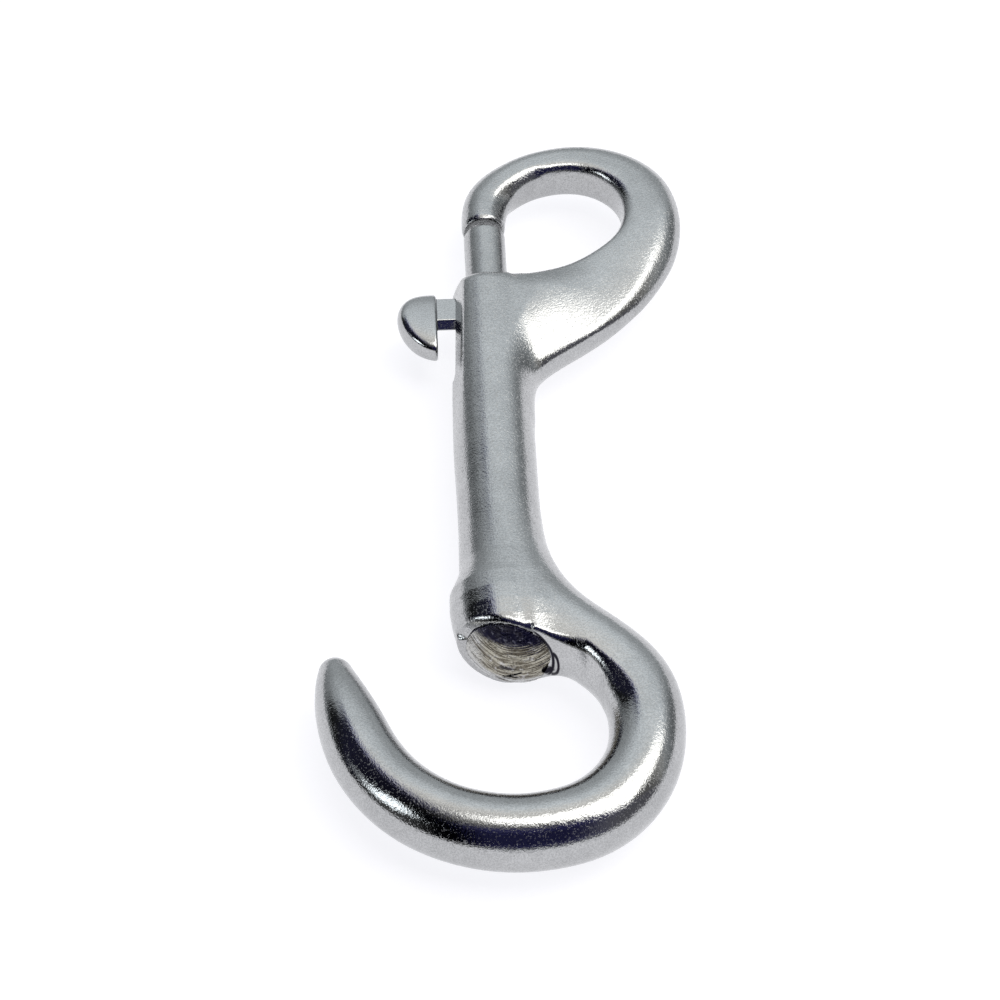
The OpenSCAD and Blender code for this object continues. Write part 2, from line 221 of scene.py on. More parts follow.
def field(x, y, z, holes=True):
    """Negative inside the casting."""
    _, _, hookline = lines()
    loop = eye(x, y, z)
    R = np.sqrt((x+0.2)**2+z**2)
    barrel = rmax(R-4.735+0.12*ramp(y, -1, -9)*ramp(x, 1, -1), y-25.08+0*z, 1.6-1.0*ramp(x, 1, 2.5))
    # two shallow flats that meet along the slot
    barrel = rmax(barrel, (-x-(4.2+0.037*(24.3-y))+0.33*np.abs(z))*0.95, 0.2)
    barrel = np.maximum(barrel, -(y+23.5)+0*z)
    # the swelling, its leaning end face, and the upper slope that is filed with the plug
    ty, al, ar, bz = BOSS.T
    bx = np.where(x < 0, np.interp(y, ty, al), np.interp(y, ty, ar))
    bz = np.interp(y, ty, bz)+np.where(z < 0, 0.35*ramp(y, -26, -29.4), 0)
    skin = (np.sqrt((x/bx)**2+(z/bz)**2)-1)*4.8
    lean = y+0.245*(x-0.05)-0.07*z
    slope = -(lean+29.45)*0.866+(np.hypot(x-0.1, z)-4.87)*0.5-3*ramp(x, 2.4, 3.8)-3*ramp(z, 1.2, -0.3)
    end = rmax(-(lean+29.7)*0.971, slope, 0.25)
    boss = rmax(skin, end, 0.32+0.58*ramp(z, 0, -3)*ramp(x, -1, 2))
    boss = np.maximum(boss, y+5+0*z)
    # the hook's bar; travel is towards the tip, and the bowl is on the right of the line
    s, (a, b, k) = hookline.near(x, y)
    r = np.sqrt(np.maximum((s/a)**2+(z/b)**2, 1e-9))
    hook = (r-1)/np.maximum(np.hypot(s/(a*a*r), z/(b*b*r)), 0.08)
    tilt = k*np.where(x < -8, 0.5, 0.34*np.clip((x-4.5)/3.8, 0, 1))
    crown = z-(b-k*0.042*s*s)
    wall = (-s-a+tilt*z)/np.sqrt(1+tilt**2)
    crown = np.where((s < 0) & (z > 0), crown, hook)
    lip = rmax(crown, wall, np.minimum(a, b)*(1-k)+0.75*k)
    hook = np.where((s < 0) & (z > 0), lip, hook)
    hook = rmax(hook, np.where(x < -10, y+30.15, -9.0)+0*z, 1.3)
    hook = np.maximum(hook, y+6+0*z)
    f = smin(barrel, boss, 0.6)
    f = smin(f, hook, 1.2+1.6*ramp(z, 0.5, -2.5)*ramp(y, -27, -30)+1.4*ramp(z, 0.5, 2.5)*ramp(y, -14, -22)*ramp(x, 0.8, 3.2))
    # above the middle the end face's rim runs on into the bar's inner edge
    both = rmax(smin(skin, crown, 3.0), smin(end, wall, 0.8), 0.42+0.3*ramp(x, 3, 7))
    m = ramp(x, 1.2, 3.2)*ramp(x, 9, 7)*ramp(z, -0.3, 0.9)*ramp(y, -22, -27)*ramp(y, -40, -37)
    f = f*(1-m)+both*m
    f = smin(f, loop, 1.6)
    if holes:
        rb = np.sqrt(x*x+z*z)
        bore = rb-2.55
        f = rmax(f, -np.maximum(bore, np.maximum(-24.5-y, y-30)), 0.25)
        f = rmax(f, -np.maximum(rb-4.3, np.abs(y+32)-7.5), 0.12)
        cup = 2.8-np.sqrt(x*x+(y-33.9)**2+z*z)
        f = rmax(f, np.where(y > 30, cup, -9), 0.2)
        slot = np.maximum(np.hypot(np.maximum(np.abs(y-17.5)-5.7, 0), z)-0.9, x)
        f = rmax(f, -slot, 0.25)
    return f

def grad(x, y, z, e=0.02):
    g = [field(x+e, y, z)-field(x-e, y, z), field(x, y+e, z)-field(x, y-e, z), field(x, y, z+e)-field(x, y, z-e)]
    return np.stack(g, -1)/(2*e)

def nets(f):
    """Surface nets of a sampled field: points in cell units and quads."""
    s = f < 0
    n = [k-1 for k in f.shape]
    offs = np.array([(i, j, k) for i in (0, 1) for j in (0, 1) for k in (0, 1)], float)
    C = np.stack([f[i:n[0]+i, j:n[1]+j, k:n[2]+k] for i in (0, 1) for j in (0, 1) for k in (0, 1)], -1)
    act = ((C < 0).sum(-1) % 8) > 0
    idx = -np.ones(act.shape, int)
    idx[act] = np.arange(act.sum())
    c = C[act]
    acc, cnt = np.zeros((len(c), 3)), np.zeros(len(c))
    for a in range(8):
        for b in range(a+1, 8):
            if np.abs(offs[a]-offs[b]).sum() == 1:
                m = (c[:, a] < 0) != (c[:, b] < 0)
                t = np.where(m, c[:, a]/np.where(m, c[:, a]-c[:, b], 1), 0)
                acc += np.where(m[:, None], offs[a]+t[:, None]*(offs[b]-offs[a]), 0)
                cnt += m
    P = np.argwhere(act)+acc/cnt[:, None]
    quads = []
    for ax in range(3):
        lo, hi = [slice(None)]*3, [slice(None)]*3
        lo[ax], hi[ax] = slice(0, -1), slice(1, None)
        o = [k for k in range(3) if k != ax]
        e = np.argwhere(s[tuple(lo)] != s[tuple(hi)])
        e = e[(e[:, o[0]] > 0) & (e[:, o[1]] > 0) & (e[:, o[0]] < f.shape[o[0]]-1) & (e[:, o[1]] < f.shape[o[1]]-1)]
        flip = s[tuple(e.T)] if ax != 1 else ~s[tuple(e.T)]
        q = []
        for da, db in ((0, 0), (1, 0), (1, 1), (0, 1)):
            ee = e.copy()
            ee[:, o[0]] -= da
            ee[:, o[1]] -= db
            q.append(idx[tuple(ee.T)])
        q = np.stack(q, 1)
        q[flip] = q[flip][:, ::-1]
        quads.append(q)
    return P, np.vstack(quads)

def tidy(V, Q, N):
    """The web meets the barrel in a kink of the field, where a point and its normal can go astray: there both are evened out."""
    near = (V[:, 0] > 0.2) & (V[:, 0] < 9) & (V[:, 1] > 2) & (V[:, 1] < 24.6) & (np.abs(V[:, 2]) > 2.4)
    def gather(dst, values):
        return np.stack([np.bincount(dst, values[:, k], len(V)) for k in range(3)], -1)
    for step in range(6):
        F = np.cross(V[Q[:, 2]]-V[Q[:, 0]], V[Q[:, 3]]-V[Q[:, 1]])
        A = sum(gather(Q[:, i], F) for i in range(4))
        A /= np.maximum(np.linalg.norm(A, axis=1), 1e-12)[:, None]
        if (A*N).sum() < 0:
            A = -A
        astray = (A*N).sum(1) < np.where(near, 0.985, 0.75)
        M = sum(gather(Q[:, i], V[Q[:, j % 4]]) for i in range(4) for j in (i+1, i+3))
        M /= np.maximum(np.bincount(Q.ravel(), minlength=len(V))*2, 1)[:, None]
        N[astray] = A[astray]
        # a face that has folded over takes its points to their neighbours' middle too
        side = (F*N[Q].sum(1)).sum(1)
        astray[Q[side*np.sign(side.sum()) < 0]] = True
        V[astray] = M[astray]
    S = sum(gather(Q[:, i], N[Q[:, j % 4]]) for i in range(4) for j in (i+1, i+3))+2*N
    S /= np.maximum(np.linalg.norm(S, axis=1), 1e-12)[:, None]
    N[near] = S[near]
    return V, Q, N

def casting(h):
    xs, ys, zs = np.arange(-22.6, 25.6, h), np.arange(-59.4, 50.2, h), np.arange(-5.9, 6.0, h)
    f = field(xs[:, None, None], ys[None, :, None], zs[None, None, :])
    P, Q = nets(f)
    V = np.array([xs[0], ys[0], zs[0]])+P*h
    for _ in range(3):
        v = field(*V.T)
        g = grad(*V.T)
        V -= g*(np.clip(v, -h, h)/np.maximum((g**2).sum(1), 0.1))[:, None]
    g = grad(*V.T)
    return tidy(V, Q, g/np.maximum(np.linalg.norm(g, axis=1), 1e-9)[:, None])


# ---------------------------------------------------------------- the other pieces
def lathe(profile, n, axis_y=0.0):
    """Rings about the Y axis from [y, r] rows; rows of r 0 close the ends."""
    V, F = [], []
    for y, r in profile:
        for i in range(n):
            a = 2*math.pi*i/n
            V.append((r*math.cos(a), y, r*math.sin(a)))
    for j in range(len(profile)-1):
        for i in range(n):
            k = (i+1) % n
            F.append((j*n+i, (j+1)*n+i, (j+1)*n+k, j*n+k))
    for j, s in ((0, 1), (len(profile)-1, -1)):
        V.append((0.0, profile[j][0], 0.0))
        c = len(V)-1
        for i in range(n):
            k = (i+1) % n
            F.append((c, j*n+i, j*n+k) if s > 0 else (c, j*n+k, j*n+i))
    return np.array(V), F


def arc(c, r, a0, a1, n):
    """Points of a rounded corner: centre [y, r], radius, from angle a0 to a1 in degrees about it."""
    return [(c[0]+r*math.sin(math.radians(a)), c[1]+r*math.cos(math.radians(a))) for a in np.linspace(a0, a1, n)]


def piece(name, V, F, material, body, nodes, normals=None, flat=False):
    me = bpy.data.meshes.new(name)
    me.from_pydata(((np.asarray(V)+ORIGIN)/1000).tolist(), [], [tuple(map(int, f)) for f in F])
    me.validate()
    if not flat:
        me.shade_smooth()
    if normals is not None:
        me.normals_split_custom_set_from_vertices(normals.tolist())
    me.update()
    o = bpy.data.objects.new(name, me)
    bpy.context.scene.collection.objects.link(o)
    me.materials.append(material)
    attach(o, body)
    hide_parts(*nodes)
    return o


def net_mesh(fn, box, h, steps=3):
    """A mesh of fn(x, y, z) < 0 inside box, with its points and normals on the exact surface."""
    ax = [np.arange(a, b+h, h) for a, b in box]
    f = fn(ax[0][:, None, None], ax[1][None, :, None], ax[2][None, None, :])
    P, Q = nets(f)
    V = np.array([a[0] for a in ax])+P*h

    def g(V, e=0.01):
        x, y, z = V.T
        return np.stack([fn(x+e, y, z)-fn(x-e, y, z), fn(x, y+e, z)-fn(x, y-e, z), fn(x, y, z+e)-fn(x, y, z-e)], -1)/(2*e)
    for _ in range(steps):
        G = g(V)
        V = V-G*(np.clip(fn(*V.T), -h, h)/np.maximum((G**2).sum(1), 0.1))[:, None]
    G = g(V)
    return V, Q, G/np.maximum(np.linalg.norm(G, axis=1), 1e-9)[:, None]


def outward(V, Q, N):
    """Turns the faces so that they look the way the normals do."""
    e = np.cross(V[Q[:, 1]]-V[Q[:, 0]], V[Q[:, 2]]-V[Q[:, 0]])+np.cross(V[Q[:, 2]]-V[Q[:, 0]], V[Q[:, 3]]-V[Q[:, 0]])
    m = (e*N[Q].sum(1)).sum(1).sum() < 0
    return Q[:, ::-1] if m else Q


# ---------------------------------------------------------------- materials
class Nodes:
    def __init__(self, tree):
        self.t = tree

    def __call__(self, kind, **k):
        n = self.t.nodes.new(kind)
        for a, v in k.items():
            setattr(n, a, v)
        return n

    def link(self, a, b):
        self.t.links.new(a, b)

    def math(self, op, a, b=None, c=None, clamp=False):
        n = self("ShaderNodeMath", operation=op)
        n.use_clamp = clamp
        for s, v in zip(n.inputs, (a, b, c)):
            if v is None:
                continue
            if isinstance(v, (int, float)):
                s.default_value = v
            else:
                self.link(v, s)
        return n.outputs[0]

    def smooth(self, x, a, b, lo=0.0, hi=1.0):
        n = self("ShaderNodeMapRange", interpolation_type="SMOOTHSTEP")
        for s, v in zip(n.inputs, (x, a, b, lo, hi)):
            if isinstance(v, (int, float)):
                s.default_value = v
            else:
                self.link(v, s)
        return n.outputs[0]

    def noise(self, vec, scale, detail=2.0, rough=0.5, dist=0.0):
        n = self("ShaderNodeTexNoise")
        self.link(vec, n.inputs["Vector"])
        n.inputs["Scale"].default_value = scale
        n.inputs["Detail"].default_value = detail
        n.inputs["Roughness"].default_value = rough
        n.inputs["Distortion"].default_value = dist
        return n.outputs["Fac"]

    def mix(self, f, a, b):
        n = self("ShaderNodeMix", data_type="RGBA")
        for s, v in ((n.inputs[0], f), (n.inputs[6], a), (n.inputs[7], b)):
            if isinstance(v, (int, float)):
                s.default_value = v
            elif isinstance(v, tuple):
                s.default_value = (*v, 1)
            else:
                self.link(v, s)
        return n.outputs[2]


def metal(name, base=(0.45, 0.455, 0.46), rough=0.15, speck=1.0, coarse=1.0, dark=0.10, pits=0.0, scale=1.0, along=None, extra=None):
    """Cast or drawn steel: a glossy ground with grain, sparse pits and a faint uneven tarnish.

    along = (factor, y from, y to): the grain is scaled by factor below y from and reaches full strength at y to, in metres.
    """
    m = bpy.data.materials.new(name)
    m.use_nodes = True
    n = Nodes(m.node_tree)
    m.node_tree.nodes.clear()
    out = n("ShaderNodeOutputMaterial")
    p = n("ShaderNodeBsdfPrincipled")
    n.link(p.outputs[0], out.inputs[0])
    p.inputs["Metallic"].default_value = 1.0
    co = n("ShaderNodeTexCoord").outputs["Object"]
    big = n.noise(co, 95, 3, 0.55)
    mid = n.noise(co, 520, 3, 0.6)
    grain = n.noise(co, 2600*scale, 2, 0.65)
    tiny = n.noise(co, 5600*scale, 1, 0.6)
    tone = n.smooth(n.math("ADD", n.math("MULTIPLY", big, 0.6), n.math("MULTIPLY", mid, 0.4)), 0.32, 0.68)
    fleck = n.smooth(tiny, 0.35, 0.65, 0.87, 1.09)
    low = tuple(c*(1-dark) for c in base)
    high = tuple(min(1, c*(1+dark*0.6)) for c in base)
    colour = n.mix(tone, low, high)
    v = n("ShaderNodeVectorMath", operation="SCALE")
    n.link(colour, v.inputs[0])
    n.link(fleck, v.inputs["Scale"])
    colour = v.outputs[0]
    r = n.smooth(mid, 0.3, 0.7, rough*0.85, rough*1.2)
    amount = speck
    if along is not None:
        sep = n("ShaderNodeSeparateXYZ")
        n.link(co, sep.inputs[0])
        amount = n.math("MULTIPLY", n.smooth(sep.outputs[1], along[1], along[2], along[0], 1.0), speck)
        r = n.math("MULTIPLY", r, n.smooth(sep.outputs[1], along[1], along[2], 0.72, 1.0))
    # fine dull dots, which show as grey specks where the steel mirrors something dark
    dots = n.smooth(n.noise(co, 4300*scale, 1, 0.5), 0.57, 0.65, 0.0, 0.45)
    r = n.math("ADD", r, n.math("MULTIPLY", dots, amount))
    n.link(r, p.inputs["Roughness"])
    fine = n.math("ADD", n.math("MULTIPLY", grain, 0.030), n.math("MULTIPLY", tiny, 0.028))
    hgt = n.math("ADD", n.math("MULTIPLY", fine, amount), n.math("MULTIPLY", mid, 0.007*coarse))
    if pits:
        vo = n("ShaderNodeTexVoronoi", feature="F1")
        n.link(co, vo.inputs["Vector"])
        vo.inputs["Scale"].default_value = 330
        hole = n.smooth(vo.outputs["Distance"], 0.04, 0.13, -1.0, 0.0)
        keep = n.smooth(n.noise(co, 170, 1, 0.5), 0.58, 0.66)
        hgt = n.math("ADD", hgt, n.math("MULTIPLY", n.math("MULTIPLY", hole, keep), pits))
    if extra is not None:
        colour, hgt = extra(n, co, colour, hgt, p)
    n.link(colour, p.inputs["Base Color"])
    b = n("ShaderNodeBump")
    b.inputs["Strength"].default_value = 1.0
    b.inputs["Distance"].default_value = 0.001
    n.link(hgt, b.inputs["Height"])
    n.link(b.outputs[0], p.inputs["Normal"])
    return m


def local(n, co):
    """Object coordinates as millimetres about the bolt's axis."""
    sep = n("ShaderNodeSeparateXYZ")
    n.link(co, sep.inputs[0])
    return [n.math("SUBTRACT", n.math("MULTIPLY", o, 1000.0), float(c)) for o, c in zip(sep.outputs, ORIGIN)]


def near_ring(n, x, z, cx, cz, rx, rz, w):
    """1 on an ellipse in the XZ plane, fading to 0 at w from it (in mm, for nearly round ones)."""
    u = n.math("DIVIDE", n.math("SUBTRACT", x, cx), rx)
    v = n.math("DIVIDE", n.math("SUBTRACT", z, cz), rz)
    r = n.math("SQRT", n.math("ADD", n.math("MULTIPLY", u, u), n.math("MULTIPLY", v, v)))
    d = n.math("MULTIPLY", n.math("ABSOLUTE", n.math("SUBTRACT", r, 1.0)), min(rx, rz))
    return n.smooth(d, w, w*0.35)


def near_line(n, x, z, p, q, w):
    """1 on the stretch from p to q in the XZ plane, fading to 0 at w from it."""
    (ax, az), (bx, bz) = p, q
    L = math.hypot(bx-ax, bz-az)
    ex, ez = (bx-ax)/L, (bz-az)/L
    dx, dz = n.math("SUBTRACT", x, ax), n.math("SUBTRACT", z, az)
    t = n.math("ADD", n.math("MULTIPLY", dx, ex), n.math("MULTIPLY", dz, ez))
    over = n.math("MAXIMUM", n.math("SUBTRACT", n.math("ABSOLUTE", n.math("SUBTRACT", t, L/2)), L/2), 0.0)
    s = n.math("ADD", n.math("MULTIPLY", dx, -ez), n.math("MULTIPLY", dz, ex))
    return n.smooth(n.math("SQRT", n.math("ADD", n.math("MULTIPLY", s, s), n.math("MULTIPLY", over, over))), w, w*0.35)


def groove_shade_mask(n, x, z):
    """Painted shade: a near-black band in the groove round the plug's right side."""
    g = near_ring(n, x, z, 0.1, 0.0, 4.75, 4.75, 0.24)
    g = n.math("MULTIPLY", g, n.math("MULTIPLY", n.smooth(x, 2.3, 3.0), n.smooth(z, -2.6, -1.9)))
    return n.math("MAXIMUM", g, near_line(n, x, z, (4.0, -1.75), (4.65, -1.0), 0.5))


def filed(n, co, colour, hgt, p):
    """Straw and dark brown colours in bowed strokes over the plug's filed end, with a painted dark navy reflection on
    its upper slope, brighter at its lower rim.
    """
    x, y, z = local(n, co)
    x2 = n.math("MULTIPLY", x, x)
    w = n.math("SUBTRACT", z, n.math("MULTIPLY", x2, n.smooth(x, -0.6, 0.6, 0.14, 0.06)))
    vec = n("ShaderNodeCombineXYZ")
    n.link(n.math("MULTIPLY", x, 0.42), vec.inputs[0])
    n.link(n.math("MULTIPLY", w, 3.4), vec.inputs[2])
    s1 = n.noise(vec.outputs[0], 1.0, 4, 0.62, 0.7)
    vec2 = n("ShaderNodeCombineXYZ")
    n.link(n.math("ADD", n.math("MULTIPLY", x, 0.8), 7.0), vec2.inputs[0])
    n.link(n.math("MULTIPLY", w, 6.5), vec2.inputs[2])
    s3 = n.noise(vec2.outputs[0], 1.0, 3, 0.6, 0.5)
    s2 = n.noise(co, 1100, 3, 0.6)
    colour = n.mix(n.smooth(s1, 0.42, 0.58), (0.12, 0.105, 0.08), (0.43, 0.41, 0.345))
    colour = n.mix(n.smooth(s2, 0.55, 0.72, 0.0, 0.6), colour, (0.62, 0.62, 0.64))
    # bare metal towards the left and the lower rim
    bare = n.math("MAXIMUM", n.smooth(w, -2.7, -3.6, 0.0, 0.85), n.smooth(x, -2.2, -3.8, 0.0, 0.6))
    colour = n.mix(n.math("MULTIPLY", bare, n.smooth(s1, 0.36, 0.5)), colour, (0.58, 0.59, 0.60))
    # thin black scratches
    colour = n.mix(n.smooth(s3, 0.335, 0.29, 0.0, 0.9), colour, (0.02, 0.018, 0.02))
    # painted reflection: where the surface faces upwards (picked by its normal) the colour turns dark navy, as if the
    # slope mirrored the dark part of the room
    g = n("ShaderNodeNewGeometry")
    nz = n("ShaderNodeSeparateXYZ")
    n.link(g.outputs["Normal"], nz.inputs[0])
    upslope_painted_reflection = n.smooth(nz.outputs[2], 0.36, 0.46)
    s4 = n.noise(co, 2100, 2, 0.6)
    painted_navy_reflection = n.mix(n.smooth(s4, 0.55, 0.68), (0.028, 0.028, 0.08), (0.32, 0.32, 0.42))
    colour = n.mix(n.math("MULTIPLY", upslope_painted_reflection, n.smooth(s2, 0.3, 0.62, 0.97, 0.8)), colour, painted_navy_reflection)
    # painted shade: near-black in the groove and along two slits, plus a dark blot on the face
    painted_shade_and_blot = groove_shade_mask(n, x, z)
    for a, b, wd in (((-0.5, -2.75), (1.33, -1.5), 0.19), ((-1.35, -3.31), (-0.37, -3.95), 0.17)):
        painted_shade_and_blot = n.math("MAXIMUM", painted_shade_and_blot, near_line(n, x, z, a, b, wd))
    u = n.math("ADD", x, 0.1)
    v = n.math("MULTIPLY", n.math("ADD", z, 0.9), 2.4)
    r = n.math("SQRT", n.math("ADD", n.math("MULTIPLY", u, u), n.math("MULTIPLY", v, v)))
    blot = n.math("MULTIPLY", n.smooth(n.math("ADD", r, n.math("MULTIPLY", s2, 1.5)), 1.9, 1.35), 0.85)
    painted_shade_and_blot = n.math("MAXIMUM", painted_shade_and_blot, blot)
    colour = n.mix(painted_shade_and_blot, colour, (0.012, 0.011, 0.018))
    hgt = n.math("ADD", hgt, n.math("MULTIPLY", s1, 0.04))
    return colour, hgt


def seam(n, co, colour, hgt, p):
    """Painted shade: near-black in the groove between casting and plug and along the burr's outline beside it, on the
    end face only.
    """
    x, y, z = local(n, co)
    face = n.math("ADD", y, n.math("MULTIPLY", x, 0.245))
    here = n.math("MULTIPLY", n.smooth(face, -28.7, -29.1), n.smooth(y, -33.0, -32.6))
    # painted shade in the crevices round the plug
    dark = groove_shade_mask(n, x, z)
    dark = n.math("MAXIMUM", dark, n.math("MULTIPLY", near_ring(n, x, z, 4.85, -0.4, 0.55, 1.5, 0.2), n.smooth(x, 4.5, 4.75)))
    return n.mix(n.math("MULTIPLY", dark, here), colour, (0.012, 0.011, 0.018)), hgt


Y = ORIGIN[1]/1000
BODY = metal("cast_satin_steel", rough=0.11, speck=0.68, along=(0.8, Y-0.034, Y-0.016), pits=0.007, extra=seam)
BOLT = metal("drawn_bolt_steel", rough=0.17, speck=0.5, coarse=0.5)
STUD = metal("polished_stud_steel", rough=0.10, speck=0.3, coarse=0.6, scale=1.2)
WIRE = metal("spring_wire_steel", base=(0.40, 0.40, 0.41), rough=0.25, speck=0.4)
PLUG = metal("filed_plug_steel", base=(0.44, 0.42, 0.36), rough=0.26, speck=1.2, coarse=3.0, dark=0.3, extra=filed)

# ---------------------------------------------------------------- casting
h = 0.285
V, Q, N = casting(h)
piece("cast_body", V, outward(V, Q, N), BODY, "casting", ["body"], N)

# ---------------------------------------------------------------- bolt
prof = [(0.0, 0.6), (0.0, 2.05)]+arc((0.4, 2.1), 0.4, 180+90, 360, 5)[0:]
prof = [(0.0, 0.5), (0.0, 1.6)]+[(0.4-0.4*math.cos(math.radians(a)), 2.1+0.4*math.sin(math.radians(a))) for a in np.linspace(0, 90, 6)]
prof += [(float(v), 2.5) for v in np.linspace(1.5, 34.2, 60)]
prof += [(34.25+0.3*math.sin(math.radians(a)), 2.2+0.3*math.cos(math.radians(a))) for a in np.linspace(8, 46, 6)]
tip = [(35.45, 1.5), (35.75, 1.15), (36.0, 0.8), (36.15, 0.5), (36.22, 0.2)]
V, F = lathe(prof+tip, 96)
piece("sliding_bolt", V, F, BOLT, "bolt_and_stud", ["bolt"])


# ---------------------------------------------------------------- thumb stud
def stud_field(x, y, z):
    # a half egg, flattened above and below: long along the barrel, its tip towards the eye's side of the middle
    t = np.clip((-6.2-x)/4.7, 0, 1.3)
    yc = 19.72+1.2*t**1.6
    rho = ((y-yc)/4.7)**2+t*t
    egg = np.maximum(rho**3.4+(z/1.95)**2, 1e-9)
    f = rmax((egg**0.34-1)*2.2, (np.abs(z)-1.95+0.03*(y-yc)**2)*0.98, 0.5)
    f = rmax(f, x+6.2+0*z, 0.42)
    stem = rmax(rmax(y-23.95, np.abs(z)-0.6, 0.12), np.abs(x+4.2)-2.8, 0.1)
    stem = rmax(stem, -(y-20.1)*0.87+z*0.49, 0.12)
    return smin(f, stem, 0.15)


V, Q, N = net_mesh(stud_field, ((-11.4, -1.2), (14.6, 24.9), (-2.9, 2.9)), 0.12)
piece("thumb_knob_and_stem", V, outward(V, Q, N), STUD, "bolt_and_stud", ["thumb_stud"], N)


# ---------------------------------------------------------------- end plug
def waves(x, seed, n, lo, hi):
    """A wavy line of n sines with set frequencies, about -1 to 1."""
    g = np.random.default_rng(seed)
    f, p, a = g.uniform(lo, hi, n), g.uniform(0, 6.28, n), g.uniform(0.5, 1, n)
    return sum(a[i]*np.sin(f[i]*x+p[i]) for i in range(n))/a.sum()


def plug_field(x, y, z):
    """The plug in its seat, and its domed head, filed off in strokes across the end."""
    r = np.sqrt(x*x+z*z)
    lean = y+0.245*(x-0.05)-0.07*z
    shank = np.maximum(np.maximum(r-4.28, y+24.55), -(lean+29.75))
    xr = x-0.1
    head = np.sqrt(xr*xr+z*z+(lean+29.72-6.85)**2)-8.33
    facet = -(lean+29.45-0.06*xr*xr)*0.866+(z-4.87)*0.5
    side = np.sqrt(xr*xr+z*z)-4.7
    # file strokes: level grooves, broken up along their length
    wob = z-np.where(x < 0, 0.14, 0.06)*x*x+0.10*waves(xr, 3, 5, 0.5, 2.2)
    groove = waves(wob, 7, 9, 6.0, 26.0)*(0.55+0.45*waves(xr+0.5*z, 11, 5, 0.6, 3.0))
    amount = 0.055*ramp(z, 3.0, 1.0)+0.012
    rough = 0.02*waves(xr*1.3+z, 5, 6, 5, 16)*waves(z*1.1-xr*0.3, 6, 6, 5, 16)
    head = head-groove*amount-rough
    facet = facet-rough*1.2-0.02*waves(xr-z, 15, 5, 4, 12)*waves(xr*0.4+z, 16, 5, 4, 12)
    head = rmax(rmax(rmax(head, side, 0.12), lean+29.7, 0.02), facet, 0.08)
    # a slit and two nicks near the lower rim, and a burr's pit beside the neck
    cut = np.maximum(np.abs((z+2.125)-0.683*(x-0.415))-0.15, np.abs(x-0.415)-0.92)
    head = rmax(head, -np.maximum(cut, lean+30.0), 0.05)
    for a, b, w, h in ((0.2, -2.6, 0.9, 0.13), (-0.2, -3.05, 0.5, 0.10), (3.2, -3.2, 0.9, 0.12)):
        nick = np.sqrt(((x-a)/w)**2+((z-b-0.1*waves(x, 21, 3, 2, 5))/h)**2)-1
        head = rmax(head, -np.maximum(nick*0.12, lean+30.35+0*z), 0.04)
    pit = np.sqrt((x-4.3)**2+((z+1.3)/1.2)**2+(lean+30.05)**2)-0.72
    head = rmax(head, -pit, 0.08)
    # the groove round its right side
    ring = np.abs(np.sqrt(xr*xr+z*z)-4.72)-0.16
    head = rmax(head, np.where((x > 2.5) & (z > -2.2), -np.maximum(ring, lean+30.0), -9.0), 0.04)
    return smin(shank, head, 0.02)


V, Q, N = net_mesh(plug_field, ((-5.2, 5.2), (-33.4, -24.3), (-5.1, 5.1)), 0.085)
piece("end_plug_face", V, outward(V, Q, N), PLUG, "casting", ["end_plug"], N)

# ---------------------------------------------------------------- spring
coils, wire, m = 13, 0.3, 28
r = 2.55-0.35-wire
top, low = -wire-0.02, -24.5+wire+0.02
V, F = [], []
steps = coils*m
for j in range(steps+1):
    k = j/m
    a = 2*math.pi*k
    if k < 1:
        y = top-k*0.63
    elif k > coils-1:
        y = low+(coils-k)*0.63
    else:
        y = top-0.63+(low-top+1.26)*(k-1)/(coils-2)
    for i in range(10):
        t = 2*math.pi*i/10
        s = r+wire*math.cos(t)
        V.append((s*math.cos(a), y+wire*math.sin(t), s*math.sin(a)))
for j in range(steps):
    for i in range(10):
        k = (i+1) % 10
        F.append((j*10+i, j*10+k, (j+1)*10+k, (j+1)*10+i))
F.append(tuple(range(10)))
F.append(tuple(steps*10+i for i in reversed(range(10))))
spring = piece("return_spring", V, F, WIRE, "casting", ["spring"])
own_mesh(spring)

# ---------------------------------------------------------------- floor, light, camera
me = bpy.data.meshes.new("floor")
s = 3.0
me.from_pydata([(-s, -s, 0), (s, -s, 0), (s, s, 0), (-s, s, 0)], [], [(0, 1, 2, 3)])
floor = bpy.data.objects.new("floor", me)
bpy.context.scene.collection.objects.link(floor)
fm = bpy.data.materials.new("floor_white")
fm.use_nodes = True
p = fm.node_tree.nodes["Principled BSDF"]
p.inputs["Base Color"].default_value = (0.3, 0.3, 0.31, 1)
p.inputs["Roughness"].default_value = 0.9
p.inputs["Specular IOR Level"].default_value = 0.0
p.inputs["Emission Color"].default_value = (0.97, 0.97, 1.0, 1)
p.inputs["Emission Strength"].default_value = 0.86
me.materials.append(fm)

world = bpy.data.worlds.new("studio")
bpy.context.scene.world = world
world.use_nodes = True
t = world.node_tree
t.nodes.clear()
n = Nodes(t)
out = n("ShaderNodeOutputWorld")
bg = n("ShaderNodeBackground")
n.link(bg.outputs[0], out.inputs[0])
d = n("ShaderNodeSeparateXYZ")
n.link(n("ShaderNodeTexCoord").outputs["Generated"], d.inputs[0])
dx, dy, dz = d.outputs
theta = n.math("DIVIDE", n.math("ARCTAN2", dz, n.math("MULTIPLY", dy, -1.0)), math.pi)   # 0 front horizon, 0.5 zenith, 1 back horizon


def deg(a):
    return a/180



def ramp_node(fac, stops):
    r = n("ShaderNodeValToRGB")
    e = r.color_ramp.elements
    while len(e) > 1:
        e.remove(e[-1])
    e[0].position, e[0].color = stops[0][0], (*stops[0][1], 1)
    for pos, c in stops[1:]:
        k = e.new(pos)
        k.color = (*c, 1)
    n.link(fac, r.inputs[0])
    return r.outputs[0]


def between(v, a, b, s):
    return n.math("MULTIPLY", n.smooth(v, a-s, a+s), n.smooth(v, b+s, b-s))


